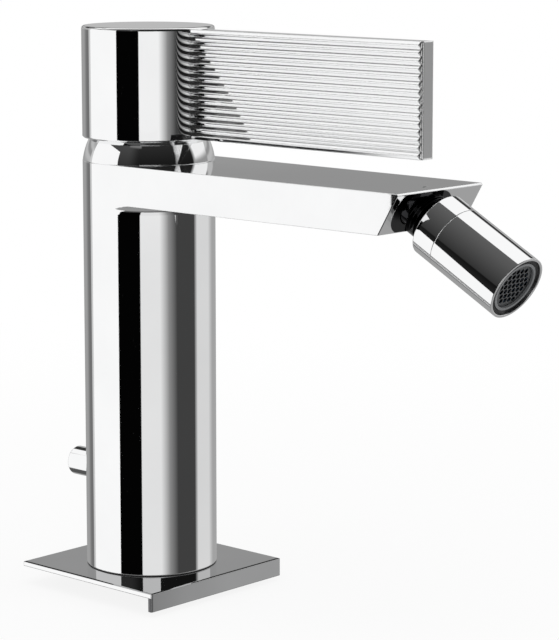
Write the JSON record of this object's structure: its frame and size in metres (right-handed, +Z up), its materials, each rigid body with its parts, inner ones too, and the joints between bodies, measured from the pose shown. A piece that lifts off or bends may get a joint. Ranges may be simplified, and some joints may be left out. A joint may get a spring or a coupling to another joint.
{
  "type": "bidet mixer tap",
  "caption": "Single-lever bidet mixer: round column on a square lipped base, flat tapered spout, ribbed plate lever, swivel aerator outlet and a pop-up waste knob behind.",
  "frame": {"origin": "on the column axis, in the deck plane under the base gasket", "axes": "+Z up along the column, -Y forward along the spout, +X to the right seen from behind the column"},
  "size_m": [0.059, 0.1857, 0.1805],
  "materials": {
    "chrome": "polished plate",
    "black_chrome": "black plate",
    "black_plastic": "moulded",
    "brass": "machined",
    "rubber": "matt",
    "white_plastic": "moulded",
    "blue_plastic": "moulded",
    "ceramic": "lapped",
    "steel": "turned",
    "zinc": "die cast",
    "grey_plastic": "moulded"
  },
  "bodies": {
    "body": {"base_plate": "chrome", "base_gasket": "rubber", "foot_seal": "rubber", "body_shell": "chrome", "valve_core": "brass", "core_seal_rings": "rubber", "neck_ring": "chrome", "cartridge_base": "white_plastic", "cartridge_seals": "rubber", "fixed_disc": "ceramic", "cartridge_housing": "white_plastic", "cartridge_nut": "brass", "popup_guide": "white_plastic"},
    "turret": {"spindle_turret": "white_plastic", "pivot_pin": "steel"},
    "disc_carriage": {"disc_carrier": "blue_plastic", "moving_disc": "ceramic"},
    "lever": {"lever_stem": "brass", "knob_shell": "chrome", "knob_hub": "zinc", "grub_screw": "steel", "index_plug": "chrome", "handle_plate": "chrome", "handle_screws": "steel"},
    "outlet_ball": {"ball_stud": "black_chrome", "ball_stud_seal": "rubber"},
    "outlet_barrel": {"swivel_collar": "chrome", "ball_seat": "white_plastic", "seat_washer": "rubber", "swivel_barrel": "chrome", "outlet_trim": "black_plastic", "aerator_seal": "rubber", "aerator_body": "grey_plastic", "flow_regulator": "blue_plastic", "aerator_screen": "steel"},
    "popup": {"popup_knob": "chrome", "popup_pin": "steel", "lift_rod": "brass"}
  },
  "joints": [
    {"name": "lever_turn", "type": "hinge", "parent": "body", "child": "turret", "pos_m": [0, 0, 0.1303], "axis": [0, 0, 1], "range_deg": [-45, 45]},
    {"name": "lever_lift", "type": "hinge", "parent": "turret", "child": "lever", "pos_m": [0, 0, 0.1303], "axis": [-1, 0, 0], "range_deg": [0, 18]},
    {"name": "disc_slide", "type": "slide", "parent": "turret", "child": "disc_carriage", "axis": [0, -1, 0], "range_m": [0, 0.0036]},
    {"name": "outlet_spin", "type": "hinge", "parent": "body", "child": "outlet_ball", "pos_m": [0, -0.12011, 0.12113], "axis": [0, -0.8788, -0.4772], "continuous": true},
    {"name": "outlet_tilt", "type": "hinge", "parent": "outlet_ball", "child": "outlet_barrel", "pos_m": [0, -0.12011, 0.12113], "axis": [1, 0, 0], "range_deg": [-18, 18]},
    {"name": "popup_lift", "type": "slide", "parent": "body", "child": "popup", "axis": [0, 0, 1], "range_m": [0, 0.018]}
  ],
  "couplings": [
    {"joint": "disc_slide", "follows": "lever_lift", "m_per_rad": 0.01131}
  ]
}
